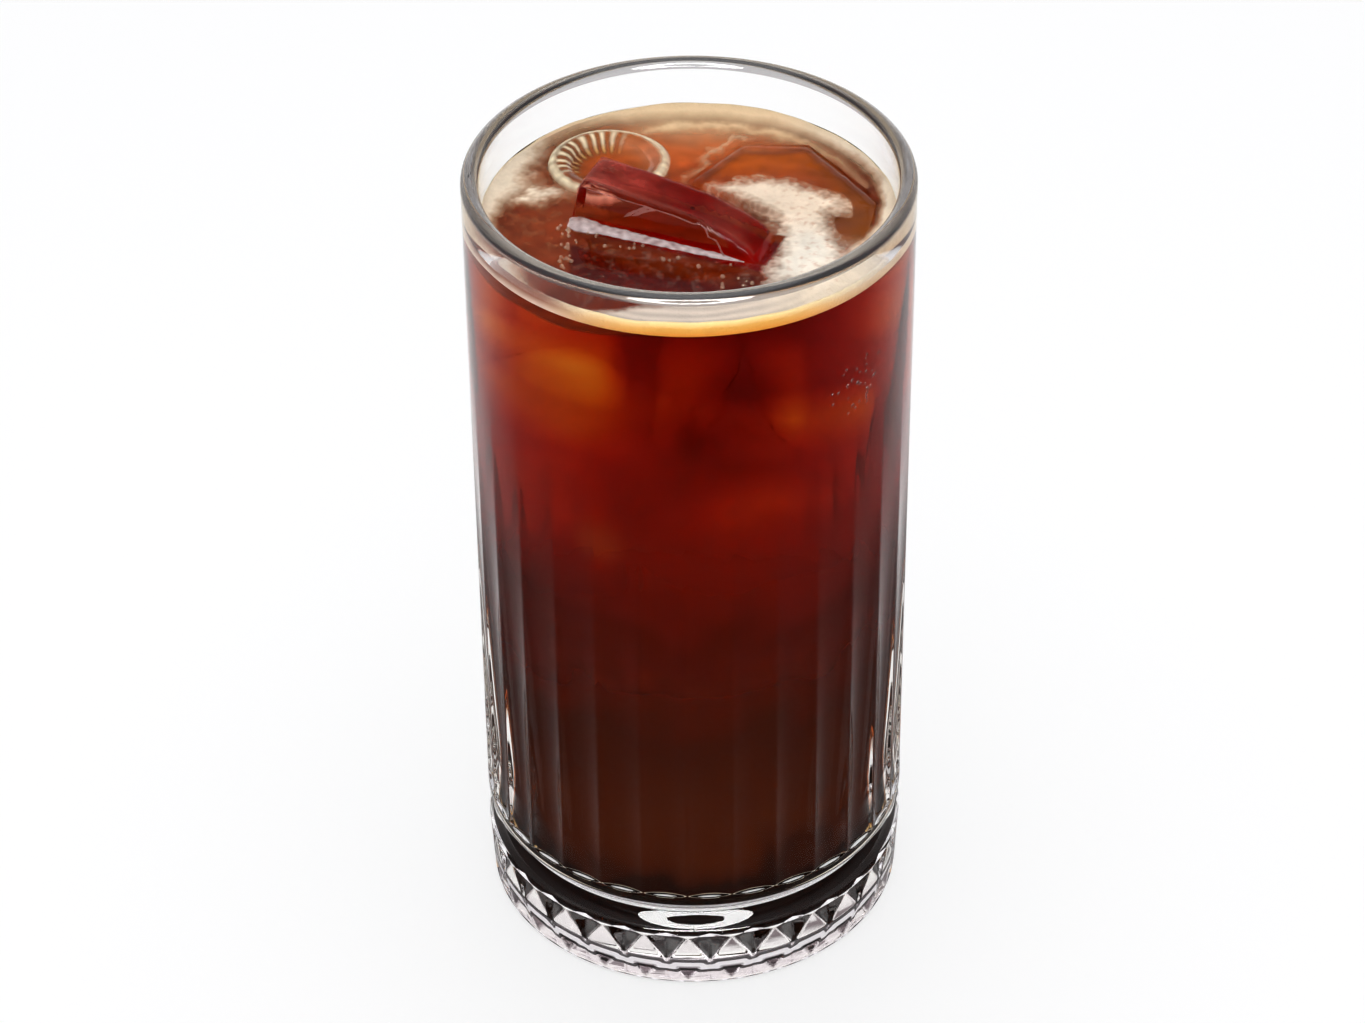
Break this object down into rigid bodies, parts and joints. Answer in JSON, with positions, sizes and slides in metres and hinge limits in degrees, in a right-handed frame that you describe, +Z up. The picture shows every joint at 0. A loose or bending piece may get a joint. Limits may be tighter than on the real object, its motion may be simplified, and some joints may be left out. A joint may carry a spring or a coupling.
{
  "type": "iced americano in a tall glass",
  "caption": "Black iced coffee in a tall fluted highball glass with a faceted foot; ice breaks the surface inside a thin ring of pale foam.",
  "frame": {"origin": "centre of the foot, on the surface the glass stands on", "axes": "+Z up along the glass's axis; -Y towards the side it is seen from; +X to the right of that view"},
  "size_m": [0.0762, 0.0762, 0.15],
  "materials": {
    "clear_glass": "clear pressed glass, polished",
    "black_coffee": "deep reddish brown liquid, clear in a thin layer",
    "coffee_foam": "fine pale cream foam",
    "clear_ice": "clear melting ice with small bubbles"
  },
  "bodies": {
    "root": {"glass": "clear_glass", "coffee": "black_coffee", "foam": "coffee_foam", "ice_front": "clear_ice", "ice_right": "clear_ice", "ice_hollow": "clear_ice"}
  },
  "joints": []
}
